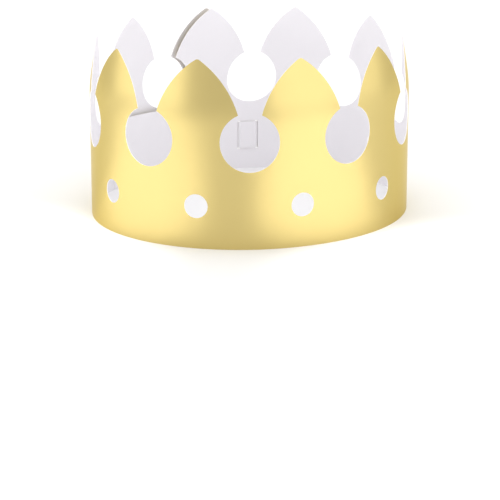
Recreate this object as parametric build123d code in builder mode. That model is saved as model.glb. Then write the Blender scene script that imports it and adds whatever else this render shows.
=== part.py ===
"""Paper crown: one die-cut strip of foil-faced card, rolled into a ring.

The strip laps itself at the back left. The outer end carries a tab, which goes in through one
upright slit of the inner layer and out through a second one. Everything is a single sheet.
Millimetres, +Z up, the origin at the middle of the ring on the surface that it stands on,
and the front gap between two points facing -Y.
"""

import os
from math import asin, cos, degrees, pi, radians, sin, sqrt, tan

from build123d import *

# The sheet
card = 0.4  # thickness of the foil-faced card

# The strip as it is cut
points = 10  # points round the closed ring, the doubled one counted once
pitch = 60.0  # from one gap to the next, along the strip
height = 105.0  # from the foot to the tips
gap_radius = 16.5  # round gap between two points
gap_height = 60.0  # centre of that gap above the foot
neck = 13.0  # opening at the top of the round gap, where two points come nearest
arch_radius = 50.5  # radius of the curved sides of a point
tip_round = 2.5  # radius of a point's very tip
tip_cross = 0.4  # how far past a point's middle its two sides are drawn, so that they always meet
hole_radius = 6.75  # round window below each point
hole_height = 24.0  # centre of that window above the foot
tongue_length = 44.0  # plain low tongue that follows the last gap of the inner end
tongue_round = 4.0  # radius of the tongue's top corner
tongue_drop = 0.5  # how far the tongue's top lies below the bottom of the gaps

# The ring
stretch = 17.8  # difference between the two radii of the oval that the ring is rolled to
turn = -28.0  # direction of the oval's long axis, from the front towards +X, degrees
lean = 9.0  # how far the points lean in above their necks, degrees
lean_radius = 100.0  # radius of the soft bend that starts the lean
lean_height = 68.0  # height at which that bend starts

# The closure
lap_gap = 0.3  # air between the two layers where they lie on each other
leave_before = 16.0  # the inner layer leaves the oval this far before the back gap's centre
tuck_radius = 45.0  # radius of the bend with which it turns inwards
tuck_angle = 19.0  # angle of that bend, degrees
slit_height = 18.0  # two upright slits in the inner layer
slit_width = 1.7
slit_spacing = 11.6  # between the two slits
slit_after = 8.6  # how far past the bend the first slit lies
mid_slit = 22.0  # height of the slits' middle above the foot
outer_end = 12.0  # where the outer end is cut square, past the back gap's centre
tab_play = 0.4  # how much lower than the slits the tab is, above and below
tab_bend = 1.2  # radius of the tab's bends
tab_step = 0.75  # from the middle of the card to the middle of the tab beside it
tab_reach = 1.0  # half the length over which the tab crosses the card
tab_end = 9.0  # length of tab past the second slit
tab_root = 3.0  # length over which the tab is one with the outer end

# What follows from these
girth = points * pitch
end_radius = girth / (2 * pi) - stretch / 2
side_radius = girth / (2 * pi) + stretch / 2
shift = stretch / sqrt(2)
back = points / 2 * pitch
leave = back - leave_before
cut = outer_end - back
gap_bottom = gap_height - gap_radius
neck_height = gap_height + sqrt(gap_radius**2 - (neck / 2) ** 2)
bend_top = lean_height + lean_radius * sin(radians(lean))
tip_inset = lean_radius * (1 - cos(radians(lean))) + (height - bend_top) * tan(radians(lean))
half_point = (side_radius - tip_inset) * sin(pitch / 2 / side_radius) + tip_cross
tongue_top = gap_bottom - tongue_drop
inner_end = back + pitch + tongue_length
beyond = 25.0  # how far a cutter reaches past the card


def heading(angle):
    """The horizontal direction at an angle from -Y towards +X, in degrees."""
    return Vector(sin(radians(angle)), -cos(radians(angle)), 0)


def quarter_radius(quarter):
    """The radius of one of the oval's quarter arcs: even ones are its ends, odd ones its sides."""
    return side_radius if quarter % 2 else end_radius


def quarter_centre(quarter):
    """The centre of one of the oval's quarter arcs."""
    return heading(turn + 90 * quarter) * (-shift if quarter % 2 else shift)


# The front gap's centre lies where the oval crosses the YZ plane.
front_facing = degrees(asin(-quarter_centre(0).X / end_radius))
front_run = radians(front_facing - (turn - 45)) * end_radius


def facing(distance):
    """The direction that the oval faces at a distance along it from the front gap, in degrees."""
    run = distance + front_run
    quarter = 0
    while run < 0:
        quarter -= 1
        run += quarter_radius(quarter) * pi / 2
    while run > quarter_radius(quarter) * pi / 2:
        run -= quarter_radius(quarter) * pi / 2
        quarter += 1
    return turn - 45 + 90 * quarter + degrees(run / quarter_radius(quarter))


def on_oval(distance, inset=0.0):
    """The point of the oval at a distance along it from the front gap, moved in by inset."""
    angle = facing(distance)
    quarter = round((angle - turn) / 90)
    return quarter_centre(quarter) + heading(angle) * (quarter_radius(quarter) - inset)


def upright(origin, outward):
    """A plane standing on the card: x along it, y up, and the normal pointing out of the ring."""
    return Plane(origin=origin, x_dir=outward.rotate(Axis.Z, 90), z_dir=outward)


def card_section(path, top):
    """The card's section across the start of its path: upright, then leaning in to the top."""
    plane = Plane(origin=path @ 0, x_dir=(path % 0).rotate(Axis.Z, 90), z_dir=path % 0)
    with BuildSketch(plane) as section:
        with BuildLine():
            if top > lean_height:
                foot = Line((0, 0), (0, lean_height))
                bend = JernArc(foot @ 1, (0, 1), lean_radius, -lean)
                rise = (top - (bend @ 1).Y) / cos(radians(lean))
                Line(bend @ 1, bend @ 1 + Vector(sin(radians(lean)), cos(radians(lean))) * rise)
            else:
                Line((0, 0), (0, top))
        trace(line_width=card)
    return section


# The ring's line in plan: the inner layer bends in from the oval and comes back to it in one arc.
leave_facing = facing(leave)
with BuildLine() as lap_line:
    tuck = JernArc(on_oval(leave), heading(leave_facing + 90), tuck_radius, tuck_angle)
    lap = TangentArc(tuck @ 1, on_oval(inner_end, card + lap_gap), tangent=tuck % 1)
last_gap = 1 - tongue_length / lap.length


def beside_lap(distance, step=0.0):
    """A point beside the inner layer: distance past its bend, and step outwards from its middle."""
    line, share = (lap, distance / lap.length) if distance > 0 else (tuck, 1 + distance / tuck.length)
    return line @ share + (line % share).rotate(Axis.Z, -90) * step


# From the outer end round the front to the bend, at full height
first = -back + neck / 2 - card
first_facing = facing(first)
with BuildLine() as ring_line:
    for quarter in range(round((first_facing - turn) / 90), round((leave_facing - turn) / 90) + 1):
        start = max(turn + 90 * quarter - 45, first_facing)
        end = min(turn + 90 * quarter + 45, leave_facing)
        CenterArc(quarter_centre(quarter), quarter_radius(quarter), start - 90, end - start)
# The inner layer, at full height as far as its last gap, and then the low tongue
with BuildLine() as inner_line:
    add(tuck)
    add(lap.trim(0, last_gap))
with BuildLine() as tongue_line:
    add(lap.trim(last_gap, 1))

# One gap between two points: a round hole, open at its top between the two points' curved sides
with BuildSketch() as gap_shape:
    with BuildLine():
        floor = Polyline((-neck / 2, neck_height), (0, gap_height), (neck / 2, neck_height))
        right = RadiusArc(floor @ 1, (half_point, height), arch_radius)
        left = RadiusArc((-half_point, height), floor @ 0, arch_radius)
        top = height + beyond
        Polyline(right @ 1, (half_point, top), (-half_point, top), left @ 0)
    make_face()
    with Locations((0, gap_height)):
        Circle(gap_radius)

with BuildPart() as crown_strip:
    for run in ring_line, inner_line:
        sweep(card_section(run.line, height + 1).sketch, path=run.line)

    for gap in range(points):
        with BuildSketch(upright(on_oval(gap * pitch), heading(facing(gap * pitch)))):
            add(gap_shape.sketch)
        extrude(amount=beyond, both=True, mode=Mode.SUBTRACT)
    for point in range(points):
        middle = (point + 0.5) * pitch
        with BuildSketch(upright(on_oval(middle), heading(facing(middle)))):
            with Locations((0, hole_height)):
                Circle(hole_radius)
        extrude(amount=beyond, both=True, mode=Mode.SUBTRACT)

    # The tongue has no window, and lies behind the outer layer's one.
    sweep(card_section(tongue_line.line, tongue_top).sketch, path=tongue_line.line)

    # The slits of the inner layer
    slits = (slit_after, slit_after - slit_spacing)
    for slit in slits:
        outward = beside_lap(slit, 1) - beside_lap(slit)
        with BuildSketch(upright(beside_lap(slit), outward)):
            with Locations((0, mid_slit)):
                Rectangle(slit_width, slit_height)
        extrude(amount=card, both=True, mode=Mode.SUBTRACT)

    # The outer end is cut square below the gap, and its tab is woven through the slits.
    with BuildSketch(upright(on_oval(cut), heading(facing(cut)))):
        Rectangle(beyond, gap_height, align=(Align.MAX, Align.MIN))
    extrude(amount=3 * card, both=True, mode=Mode.SUBTRACT)
    tab_height = slit_height - 2 * tab_play
    with BuildSketch(Plane.XY.offset(mid_slit - tab_height / 2)):
        with BuildLine():
            FilletPolyline(
                on_oval(cut + tab_root),
                on_oval(cut),
                beside_lap(slits[0] + tab_reach, tab_step),
                beside_lap(slits[0] - tab_reach, -tab_step),
                beside_lap(slits[1] + tab_reach, -tab_step),
                beside_lap(slits[1] - tab_reach, tab_step),
                beside_lap(slits[1] - tab_end, tab_step),
                radius=tab_bend,
            )
        trace(line_width=card)
    extrude(amount=tab_height)

    # The rounded tips, and the tongue's top corner
    across = crown_strip.edges().filter_by(lambda edge: edge.length < 1.5 * card)
    fillet(across.filter_by(lambda edge: edge.center().Z > height - tip_round), tip_round)
    corner = lap @ 1 + Vector(0, 0, tongue_top)
    across = crown_strip.edges().filter_by(lambda edge: edge.length < 1.5 * card)
    fillet(across.sort_by_distance(corner)[0], tongue_round)

crown_strip.part.label = "crown_strip"
os.makedirs("parts", exist_ok=True)
export_step(crown_strip.part, "parts/crown_strip.step")
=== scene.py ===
"""Paper crown: one die-cut strip of gold-foiled card, rolled into a ring and closed by its own tab.

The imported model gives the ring's place and box. The card is drawn again here as one fine, smooth
sheet with two faces and a cut edge, because foil shows every flat of a coarse mesh.
Lengths are in millimetres, and become metres where a mesh, a lamp or the camera is made.
"""

from math import asin, atan2, cos, pi, radians, sin, sqrt, tan

import bpy
import numpy as np
from mathutils import Euler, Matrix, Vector


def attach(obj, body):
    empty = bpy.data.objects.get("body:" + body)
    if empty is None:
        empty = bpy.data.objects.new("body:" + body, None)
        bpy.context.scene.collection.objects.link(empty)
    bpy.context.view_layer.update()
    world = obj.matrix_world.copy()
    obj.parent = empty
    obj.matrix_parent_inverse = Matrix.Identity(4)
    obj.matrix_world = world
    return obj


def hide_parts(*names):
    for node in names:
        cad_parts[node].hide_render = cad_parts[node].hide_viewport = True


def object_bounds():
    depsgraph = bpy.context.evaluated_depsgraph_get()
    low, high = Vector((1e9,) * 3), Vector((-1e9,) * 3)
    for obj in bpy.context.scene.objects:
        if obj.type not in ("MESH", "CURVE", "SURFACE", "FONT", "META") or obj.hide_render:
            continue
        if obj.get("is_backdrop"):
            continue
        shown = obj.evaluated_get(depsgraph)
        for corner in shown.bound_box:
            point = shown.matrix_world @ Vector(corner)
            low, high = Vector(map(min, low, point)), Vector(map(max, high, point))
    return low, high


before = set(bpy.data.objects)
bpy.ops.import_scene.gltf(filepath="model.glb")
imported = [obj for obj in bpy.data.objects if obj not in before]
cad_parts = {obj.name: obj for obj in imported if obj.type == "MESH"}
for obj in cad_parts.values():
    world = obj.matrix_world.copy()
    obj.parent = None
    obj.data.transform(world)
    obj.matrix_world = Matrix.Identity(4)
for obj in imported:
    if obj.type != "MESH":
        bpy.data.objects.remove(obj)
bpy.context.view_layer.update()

MM = 0.001

# ---------------------------------------------------------------------------------------------
# The strip's cut. A cutting die stamps the whole outline out of a flat sheet at one blow: ten
# pointed arches, a keyhole gap between each two, and a round window below each arch. Along the
# strip, distances count from the front gap's centre line, and heights from the straight foot.
# ---------------------------------------------------------------------------------------------
card = 0.4
points = 10
pitch = 60.0
height = 105.0
gap_radius = 16.5
gap_height = 60.0
neck = 13.0
arch_radius = 50.5
tip_round = 2.5
hole_radius = 6.75
hole_height = 24.0

half = pitch / 2
back = points * half
hair = 1e-4  # less than any step between two rows of the mesh
gap_bottom = gap_height - gap_radius
neck_angle = pi - asin(neck / 2 / gap_radius)
neck_height = gap_height - gap_radius * cos(neck_angle)

# The arch side is an arc of arch_radius from the neck's corner to the sharp tip. Its centre lies
# across the point's middle line, on the chord's perpendicular.
chord = np.array([half - neck / 2, height - neck_height])
span = np.hypot(*chord)
across_chord = np.array([chord[1], -chord[0]]) / span
arch_centre = (np.array([neck / 2, neck_height]) + chord / 2
               + across_chord * sqrt(arch_radius**2 - (span / 2) ** 2))
tip_centre = arch_centre[1] + sqrt((arch_radius - tip_round) ** 2 - (arch_centre[0] - half) ** 2)
tip_start = asin((tip_centre - arch_centre[1]) / (arch_radius - tip_round))

# The outer end is cut square past the last gap and carries the tab. The inner end is a low plain
# tongue with one rounded corner, and two upright slits take the tab.
outer_end = 12.0
end_corner = gap_height - sqrt(gap_radius**2 - outer_end**2)
tongue_length = 44.0
tongue_top = gap_bottom - 0.5
tongue_round = 4.0
slit_low, slit_top = 13.0, 31.0
slit_width = 1.7
tab_low, tab_top = slit_low + 0.4, slit_top - 0.4


def near_edge(z):
    """Distance from a gap's centre line to the card beside it, at height z.

    Nothing below the gap, sqrt(r^2 - (z - zc)^2) beside its circle, then the arch side's arc and
    at last the small arc that rounds the tip, both cx - sqrt(r^2 - (z - cz)^2).
    """
    def root(r, centre):
        return np.sqrt(np.clip(r * r - (z - centre) ** 2, 0, None))

    arch_end = arch_centre[1] + arch_radius * sin(tip_start)
    return np.select(
        [z <= gap_bottom, z <= neck_height - hair, z <= arch_end],
        [0 * z, root(gap_radius, gap_height), arch_centre[0] - root(arch_radius, arch_centre[1])],
        half - root(tip_round, tip_centre))


def window(z):
    """Half the width of the round window at height z: sqrt(r^2 - (z - zc)^2)."""
    return np.sqrt(np.clip(hole_radius**2 - (z - hole_height) ** 2, 0, None))


# Heights of the mesh's rows. They lie even in angle wherever the outline is an arc, so that the
# circles come out round, and every corner of the outline has a row of its own. The last number
# of each run is how finely it is cut.
def arc_rows(centre, radius, start, end, cells):
    """Heights centre - radius cos(a) for evenly spaced angles a."""
    return centre - radius * np.cos(np.linspace(start, end, cells + 1))


rows = np.unique(np.concatenate([
    np.linspace(0, hole_height - hole_radius, 6),
    arc_rows(hole_height, hole_radius, 0, pi, 14),
    np.linspace(hole_height + hole_radius, tongue_top - tongue_round, 4),
    arc_rows(tongue_top - tongue_round, tongue_round, pi / 2, pi, 5),
    arc_rows(gap_height, gap_radius, 0, neck_angle, 24),
    np.linspace(neck_height, arch_centre[1] + arch_radius * sin(tip_start), 18),
    arc_rows(tip_centre, tip_round, pi / 2 + tip_start, pi, 4),
    [slit_low, slit_top, tab_low, tab_top, end_corner],
]).round(5))

# ---------------------------------------------------------------------------------------------
# The ring's line in plan. The strip is rolled by hand to a slightly oval ring, so its line is a
# chain of arcs that meet without a kink: the oval's ends and sides, then the tighter bend with
# which the inner end tucks in behind the outer one, and the flatter arc in which it lies there.
# ---------------------------------------------------------------------------------------------
stretch = 17.8
turn = radians(-28.0)
lap_gap = 0.3
leave = back - 16.0
tuck_radius = 45.0
tuck_angle = radians(19.0)

girth = points * pitch
end_radius = girth / (2 * pi) - stretch / 2
side_radius = girth / (2 * pi) + stretch / 2
shift = stretch / sqrt(2)


def outward(h):
    """The direction out of the ring, at right angles to heading h, as one row per heading."""
    return np.stack([np.sin(h), -np.cos(h)], axis=-1)


# Arcs as (length, radius), from a quarter's start well before the outer end. The front gap is
# where the first end arc's circle crosses the middle plane x = 0.
front = asin(-outward(turn)[0] * shift / end_radius)
arc_start = -(front - turn + pi / 4) * end_radius - (side_radius + end_radius) * pi / 2
quarters = [end_radius, side_radius, end_radius, side_radius]
arcs = [(r * pi / 2, r) for r in quarters]
arcs.append((leave - arc_start - sum(length for length, _ in arcs), end_radius))
arcs.append((tuck_angle * tuck_radius, tuck_radius))

first_heading = turn - 5 * pi / 4
starts, headings, bends = [arc_start], [first_heading], []
places = [outward(turn - pi) * shift + outward(first_heading) * end_radius]


def along(place, heading, bend, run):
    """A point on an arc: place + (sin h - sin h0, cos h0 - cos h) / bend, with h = h0 + bend run."""
    h = heading + bend * run
    step = np.stack([np.sin(h) - np.sin(heading), np.cos(heading) - np.cos(h)], axis=-1)
    return place + step / np.asarray(bend)[..., None], h


def add_arc(length, radius):
    """Adds one arc to the chain, which goes on from the last arc's end in its direction."""
    place, h = along(places[-1], headings[-1], 1 / radius, length)
    starts.append(starts[-1] + length)
    headings.append(float(h))
    places.append(place)
    bends.append(1 / radius)


def plan(s):
    """The ring's line: its point in plan and its heading at distances s, taken arc by arc."""
    i = np.clip(np.searchsorted(starts, s, side="right") - 1, 0, len(bends) - 1)
    at = np.asarray(places)[i], np.asarray(headings)[i], np.asarray(bends)[i]
    return along(*at, s - np.asarray(starts)[i])


for length, radius in arcs:
    add_arc(length, radius)

# The inner layer's arc leaves in the bend's direction and ends just inside the outer layer. A
# circle through two points, tangent at the first, has the bend 2 sin(angle to chord) / chord.
# The way inside the ring is shorter, so the tongue runs 3 mm past the arc's end, and its edge
# there sinks 0.13 mm into the outer layer.
inner_end = back + pitch + tongue_length
target, target_heading = plan(np.array(inner_end - girth))
target = target - outward(target_heading) * (card + lap_gap)
to_target = target - places[-1]
lap_chord = np.hypot(*to_target)
off_chord = atan2(to_target[1], to_target[0]) - headings[-1]
off_chord = (off_chord + pi) % (2 * pi) - pi
lap_radius = lap_chord / (2 * sin(off_chord))
lap_start = starts[-1]
add_arc(2 * off_chord * lap_radius, lap_radius)

# ---------------------------------------------------------------------------------------------
# The lean. Rolled card is stiff along the band and slack above the gaps, so the points lean in a
# little from a soft bend at their necks.
# ---------------------------------------------------------------------------------------------
lean = radians(9.0)
lean_radius = 100.0
lean_height = 68.0


def card_at(s, z):
    """The middle of the card and its outward normal, at distance s and height z.

    The foot's line is plan(s). Above lean_height the section is an arc that turns by the lean,
    r - sqrt(r^2 - (z - z0)^2) inwards, and then a straight line along the lean.
    """
    s, z = np.broadcast_arrays(s, z)
    foot, heading = plan(s)
    angle = np.arcsin(np.clip((z - lean_height) / lean_radius, 0, sin(lean)))
    bend_top = lean_height + lean_radius * sin(lean)
    inset = lean_radius * (1 - np.cos(angle)) + np.clip(z - bend_top, 0, None) * tan(lean)
    out = outward(heading)
    middle = np.concatenate([foot - out * inset[..., None], z[..., None]], axis=-1)
    normal = np.concatenate([out * np.cos(angle)[..., None], np.sin(angle)[..., None]], axis=-1)
    return middle, normal


# ---------------------------------------------------------------------------------------------
# The sheet's panels. One panel is the card on one side of a gap, from the gap's centre line or
# edge to the point's middle line or window. Its grid is rows by columns, and grids share the
# rows, so that neighbours meet vertex to vertex.
# ---------------------------------------------------------------------------------------------
columns = 16
middles, normals, quads = [], [], []


def add_grid(middle, normal, flip=False, keep=None):
    """Stores one grid of the card's middle surface, with its cells as quads seen from outside."""
    start = sum(len(m) for m in middles)
    n = np.arange(middle.shape[0] * middle.shape[1]).reshape(middle.shape[:2]) + start
    cells = np.stack([n[:-1, :-1], n[:-1, 1:], n[1:, 1:], n[1:, :-1]], axis=-1)
    cells = cells[..., ::-1] if flip else cells
    middles.append(middle.reshape(-1, 3))
    normals.append(normal.reshape(-1, 3))
    quads.append(cells[keep] if keep is not None else cells.reshape(-1, 4))


def add_panel(gap, side, near, far, z, slit=None, pushed=0.0):
    """Adds the panel from near(z) to far(z) beside a gap, on its side +1 or -1 along the strip.

    The columns are spaced evenly between the two edges. Where the panel has a slit, one column
    runs down each of its sides in the band, and the cells between them are left out. A pushed
    panel is moved back along the strip by 3 t^2 - 2 t^3 of that distance from gap to neck.
    """
    share = np.linspace(0, 1, columns + 1)
    u = near[:, None] + (far - near)[:, None] * share
    keep = None
    if slit is not None:
        a, b = slit - slit_width / 2, slit + slit_width / 2
        k = round(a / half * columns)
        number = np.arange(columns + 1)
        right = (number - k - 1) / (columns - k - 1)
        band = np.where(number <= k, a * number / k, b + (far[:, None] - b) * right)
        level = np.where(number <= k, a * number / k, b + (half - b) * right) / half
        u = np.where(z[:, None] <= gap_bottom, band, near[:, None] + (far - near)[:, None] * level)
        keep = np.ones((len(z) - 1, columns), bool)
        keep[(z[:-1] >= slit_low) & (z[:-1] < slit_top), k] = False
    t = np.clip((z[:, None] - gap_bottom) / (neck_height - gap_bottom), 0, 1)
    middle, normal = card_at(gap * pitch + side * u - pushed * t * t * (3 - 2 * t), z[:, None])
    add_grid(middle, normal, flip=side < 0, keep=keep)


# The two slits, counted from the bend's end along the inner layer. The point that lies before
# the outer end's one is pushed a little aside, so that a strip of the outer one shows past it.
slits = np.array([8.6, -3.0])
push = 2.6
last = points // 2
near, far = near_edge(rows), half - window(rows)
square = np.where(rows < gap_height, np.maximum(near, outer_end), near)
add_panel(-last, 1, square, far, rows)
for gap in range(1 - last, last):
    add_panel(gap, -1, near, far, rows)
    add_panel(gap, 1, near, far, rows)
in_slit, out_slit = lap_start + slits - last * pitch
add_panel(last, -1, near, far, rows, slit=-out_slit)
add_panel(last, 1, near, far, rows, slit=in_slit, pushed=push)
add_panel(last + 1, -1, near, far, rows, pushed=push)

# The plain tongue, up to its rounded end
low = rows[rows <= tongue_top + hair]
corner = np.clip(low - (tongue_top - tongue_round), 0, tongue_round)
tongue_edge = tongue_length - tongue_round + np.sqrt(tongue_round**2 - corner**2)
add_panel(last + 1, 1, 0 * low, tongue_edge, low)


# The tab. It is one with the outer end, and follows the inner layer: it comes down to it, goes
# in through the first slit, lies on its inner face, and comes out through the second.
def eased(x, knots, values):
    """Steps between the values at the knots, along 3 t^2 - 2 t^3 from each knot to the next."""
    i = np.clip(np.searchsorted(knots, x, side="right") - 1, 0, len(knots) - 2)
    t = (x - knots[i]) / (knots[i + 1] - knots[i])
    return values[i] + (values[i + 1] - values[i]) * t * t * (3 - 2 * t)


tab_step, tab_reach, tab_end = 0.75, 1.0, 9.0
tab_columns = 80
search_length, search_steps = 30.0, 300

outer_corner, outer_heading = plan(np.array(outer_end - back))
inner_line = np.linspace(lap_start, lap_start + search_length, search_steps + 1)
beside = np.argmin(np.hypot(*(plan(inner_line)[0] - outer_corner).T))
tab_start = inner_line[beside]
tab_rise = float((outer_corner - plan(tab_start)[0]) @ outward(outer_heading))
in_slit, out_slit = lap_start + slits
knots = np.array([out_slit - tab_end, out_slit - tab_reach, out_slit + tab_reach,
                  in_slit - tab_reach, in_slit + tab_reach, tab_start])
rise = np.array([tab_step, tab_step, -tab_step, -tab_step, tab_step, tab_rise])
run = np.linspace(tab_start, out_slit - tab_end, tab_columns + 1)
line, heading = plan(run)
line = line + outward(heading) * eased(run, knots, rise)[:, None]
line[0] = outer_corner
toward = np.gradient(line, axis=0)
heading = np.arctan2(-toward[:, 1], -toward[:, 0])
heading[0] = outer_heading
tab_rows = rows[(rows >= tab_low - hair) & (rows <= tab_top + hair)]
grid = np.broadcast_to(line, (len(tab_rows),) + line.shape)
middle = np.concatenate([grid, np.broadcast_to(tab_rows[:, None, None], grid.shape[:2] + (1,))], -1)
normal = np.concatenate([outward(heading), 0 * line[:, :1]], axis=-1)
add_grid(middle, np.broadcast_to(normal, middle.shape), flip=True)


# ---------------------------------------------------------------------------------------------
# One closed sheet from the panels: vertices that meet are joined, each becomes one vertex on the
# foil and one on the white side, half the card's thickness away, and the cut edge joins the two.
# ---------------------------------------------------------------------------------------------
edge_angle = radians(50)  # faces that meet more sharply than this keep a crisp edge


def sheet_mesh(name, middle, normal, quads):
    """The closed sheet middle +- normal thickness / 2, with rims along every edge of one quad.

    Faces that lost a corner at a pole become triangles. Material 0 is the outer face, 1 the
    inner face and 2 the cut edge.
    """
    _, first, joined = np.unique(middle.round(4), axis=0, return_index=True, return_inverse=True)
    middle, normal, quads = middle[first], normal[first], joined.reshape(-1)[quads]
    count = len(middle)
    vertices = np.concatenate([middle + normal * card / 2, middle - normal * card / 2]) * MM

    same = quads == np.roll(quads, -1, axis=1)
    full = quads[~same.any(axis=1)]
    poles = quads[same.sum(axis=1) == 1]
    triangles = poles[~same[same.sum(axis=1) == 1]].reshape(-1, 3)

    edges = np.concatenate([np.stack([f, np.roll(f, -1, axis=1)], -1).reshape(-1, 2)
                            for f in (full, triangles)])
    key = np.sort(edges, axis=1)
    _, place, times = np.unique(key, axis=0, return_inverse=True, return_counts=True)
    rim = edges[times[place.reshape(-1)] == 1]
    rims = np.stack([rim[:, 1], rim[:, 0], rim[:, 0] + count, rim[:, 1] + count], axis=-1)

    faces = [*full.tolist(), *triangles.tolist(),
             *(full[:, ::-1] + count).tolist(), *(triangles[:, ::-1] + count).tolist(),
             *rims.tolist()]
    side = len(full) + len(triangles)
    mesh = bpy.data.meshes.new(name)
    mesh.from_pydata(vertices.tolist(), [], faces)
    mesh.polygons.foreach_set("material_index", np.repeat([0, 1, 2], [side, side, len(rims)]))
    mesh.polygons.foreach_set("use_smooth", np.ones(len(faces), bool))
    mesh.set_sharp_from_angle(angle=edge_angle)
    piece = bpy.data.objects.new(name, mesh)
    bpy.context.collection.objects.link(piece)
    return piece


crown = sheet_mesh("crown_card", np.concatenate(middles), np.concatenate(normals),
                   np.concatenate(quads))


# ---------------------------------------------------------------------------------------------
# The finishes
# ---------------------------------------------------------------------------------------------
def linear(colour):
    """An sRGB hex colour as linear RGBA: c / 12.92 below 0.04045, else ((c + 0.055) / 1.055)^2.4."""
    c = np.array([int(colour[i:i + 2], 16) for i in (1, 3, 5)]) / 255
    c = np.where(c <= 0.04045, c / 12.92, ((c + 0.055) / 1.055) ** 2.4)
    return (*c.tolist(), 1.0)


def node(material, kind, settings=(), links=()):
    """Adds a node, sets its sockets or properties by name, and links sockets of earlier nodes."""
    new = material.node_tree.nodes.new(kind)
    for name, value in dict(settings).items():
        if name in new.inputs:
            new.inputs[name].default_value = value
        else:
            setattr(new, name, value)
    for name, source in dict(links).items():
        material.node_tree.links.new(source, new.inputs[name])
    return new


def new_material(name):
    """An empty node material with its output."""
    material = bpy.data.materials.new(name)
    material.use_nodes = True
    material.node_tree.nodes.clear()
    return material


# Metallised polyester film, lacquered yellow, laminated to the card: a satin gold mirror. Its
# lacquer adds a thin white gloss over the metal, and the board's fibres show through it as a
# faint unevenness, which is 0.6 mm across.
foil = new_material("metallised_gold_film")
where = node(foil, "ShaderNodeTexCoord").outputs["Object"]
peel = node(foil, "ShaderNodeTexNoise", {"Scale": 1 / (0.6 * MM), "Detail": 2.0}, {"Vector": where})
bump = node(foil, "ShaderNodeBump", {"Strength": 0.04, "Distance": 0.02 * MM},
            {"Height": peel.outputs["Fac"]})
patches = node(foil, "ShaderNodeTexNoise", {"Scale": 1 / (18 * MM), "Detail": 3.0},
               {"Vector": where})
rough = node(foil, "ShaderNodeMapRange", {"To Min": 0.26, "To Max": 0.32},
             {"Value": patches.outputs["Fac"]})
shader = node(foil, "ShaderNodeBsdfPrincipled",
              {"Base Color": linear("#CFBB79"), "Metallic": 1.0,
               "Specular Tint": linear("#F4E8B6"), "Coat Weight": 0.25, "Coat Roughness": 0.3},
              {"Roughness": rough.outputs["Result"], "Normal": bump.outputs["Normal"]})
node(foil, "ShaderNodeOutputMaterial", links={"Surface": shader.outputs["BSDF"]})

# The card's bare back: uncoated bleached board, matt and faintly blue from its brightener, with
# fibres about 0.3 mm apart.
back_side = new_material("uncoated_white_card")
where = node(back_side, "ShaderNodeTexCoord").outputs["Object"]
fibres = node(back_side, "ShaderNodeTexNoise", {"Scale": 1 / (0.3 * MM), "Detail": 4.0},
              {"Vector": where})
# A mix of colours takes them at sockets 6 and 7 and gives its result at socket 2.
tone = node(back_side, "ShaderNodeMix", {"data_type": "RGBA"})
tone.inputs[6].default_value = linear("#E9E6EA")
tone.inputs[7].default_value = linear("#F1EFF2")
back_side.node_tree.links.new(fibres.outputs["Fac"], tone.inputs[0])
bump = node(back_side, "ShaderNodeBump", {"Strength": 0.15, "Distance": 0.03 * MM},
            {"Height": fibres.outputs["Fac"]})
shader = node(back_side, "ShaderNodeBsdfPrincipled", {"Roughness": 0.85},
              {"Base Color": tone.outputs[2], "Normal": bump.outputs["Normal"]})
node(back_side, "ShaderNodeOutputMaterial", links={"Surface": shader.outputs["BSDF"]})

# The cut edge: the same board's core, laid open by the die, rougher and a little whiter.
core = new_material("die_cut_card_edge")
where = node(core, "ShaderNodeTexCoord").outputs["Object"]
torn = node(core, "ShaderNodeTexNoise", {"Scale": 1 / (0.2 * MM), "Detail": 2.0}, {"Vector": where})
bump = node(core, "ShaderNodeBump", {"Strength": 0.3, "Distance": 0.05 * MM},
            {"Height": torn.outputs["Fac"]})
shader = node(core, "ShaderNodeBsdfPrincipled",
              {"Base Color": linear("#F6F3F2"), "Roughness": 0.95},
              {"Normal": bump.outputs["Normal"]})
node(core, "ShaderNodeOutputMaterial", links={"Surface": shader.outputs["BSDF"]})

for material in (foil, back_side, core):
    crown.data.materials.append(material)

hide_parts("crown_strip")
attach(crown, "root")

# ---------------------------------------------------------------------------------------------
# The table: a plain white sweep, wide enough that the camera doesn't see its far edge.
# ---------------------------------------------------------------------------------------------
table_half = 4000.0
corners = np.array([[-1, -1, 0], [1, -1, 0], [1, 1, 0], [-1, 1, 0]]) * table_half * MM
table_mesh = bpy.data.meshes.new("table")
table_mesh.from_pydata(corners.tolist(), [], [(0, 1, 2, 3)])
table = bpy.data.objects.new("table", table_mesh)
bpy.context.collection.objects.link(table)
paint = new_material("matt_white_paint")
shader = node(paint, "ShaderNodeBsdfPrincipled",
              {"Base Color": linear("#F7F7F7"), "Roughness": 0.9, "Specular IOR Level": 0.2})
node(paint, "ShaderNodeOutputMaterial", links={"Surface": shader.outputs["BSDF"]})
table.data.materials.append(paint)
table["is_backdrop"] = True

# ---------------------------------------------------------------------------------------------
# The light: an even white room, wide softboxes to the left, right and back, and two low washes
# of the table. A foil wall seen from a little above shows the table, and the points, which lean
# in, show the room. So the softboxes give the points their bright bands and the washes carry
# the same bands down the wall.
# ---------------------------------------------------------------------------------------------
room_strength = 0.86
softbox_elevation = radians(16)
wash_spread = radians(40)
overhead_size, overhead_height = (2000, 2000), 1500

world = bpy.data.worlds.new("white_room")
bpy.context.scene.world = world
world.use_nodes = True
world.node_tree.nodes["Background"].inputs["Color"].default_value = (1, 1, 1, 1)
world.node_tree.nodes["Background"].inputs["Strength"].default_value = room_strength


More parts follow.
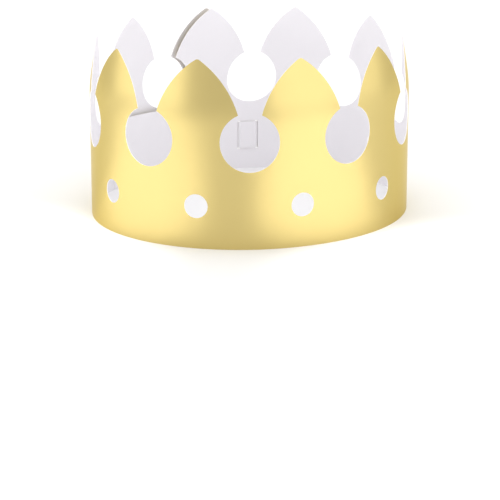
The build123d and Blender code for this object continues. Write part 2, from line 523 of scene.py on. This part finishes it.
def lamp(name, shape, size, watts):
    """An area lamp of the given shape and size, which the camera doesn't see."""
    light = bpy.data.lights.new(name, "AREA")
    light.shape = shape
    light.size, light.size_y = size[0] * MM, size[1] * MM
    light.energy = watts
    holder = bpy.data.objects.new(name, light)
    holder.visible_camera = False
    bpy.context.collection.objects.link(holder)
    return holder


def softbox(name, azimuth, distance, size, watts):
    """A rectangular lamp, raised by softbox_elevation over the crown's middle and aimed at it.

    Azimuths count in degrees from the front towards +X.
    """
    box = lamp(name, "RECTANGLE", size, watts)
    a, e = radians(azimuth), softbox_elevation
    direction = Vector((sin(a) * cos(e), -cos(a) * cos(e), sin(e)))
    box.location = (direction * distance + Vector((0, 0, height / 2))) * MM
    box.rotation_euler = direction.to_track_quat("Z", "Y").to_euler()


def wash(name, azimuth, place, size, watts):
    """An oval lamp that shines straight down on the table beside the crown, in a narrow beam."""
    head = lamp(name, "ELLIPSE", size, watts)
    head.data.spread = wash_spread
    head.location = Vector(place) * MM
    head.rotation_euler = Euler((0, 0, radians(azimuth - 90)))


softbox("softbox_left", -74, 1000, (1300, 600), 2.6)
softbox("softbox_right", 47, 1000, (1000, 600), 1.9)
softbox("softbox_far_right", 92, 1000, (600, 600), 0.9)
softbox("softbox_back", 180, 1200, (1600, 700), 4.5)
wash("wash_left", -68, (-435, -231, 100), (800, 420), 0.67)
wash("wash_right", 54, (368, -331, 100), (800, 400), 0.68)
overhead = lamp("softbox_above", "RECTANGLE", overhead_size, 5.0)
overhead.location = Vector((0, 0, overhead_height)) * MM

# ---------------------------------------------------------------------------------------------
# The camera: a long lens a little above the crown, aimed below it, so that the crown stands in
# the upper half of the picture.
# ---------------------------------------------------------------------------------------------
camera_elevation = radians(12.1)
camera_distance = 1187.0
aim_below = radians(3.73)
lens = bpy.data.cameras.new("camera")
lens.sensor_width = 36.0
lens.lens = 144.7
lens.clip_start, lens.clip_end = 0.05, 50.0
camera = bpy.data.objects.new("camera", lens)
bpy.context.collection.objects.link(camera)
camera.location = Vector((0, -cos(camera_elevation) * camera_distance,
                          sin(camera_elevation) * camera_distance + height / 2)) * MM
camera.rotation_euler = Euler((pi / 2 - camera_elevation - aim_below, 0, 0))
bpy.context.scene.camera = camera
bpy.context.scene.view_settings.view_transform = "Standard"

low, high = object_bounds()
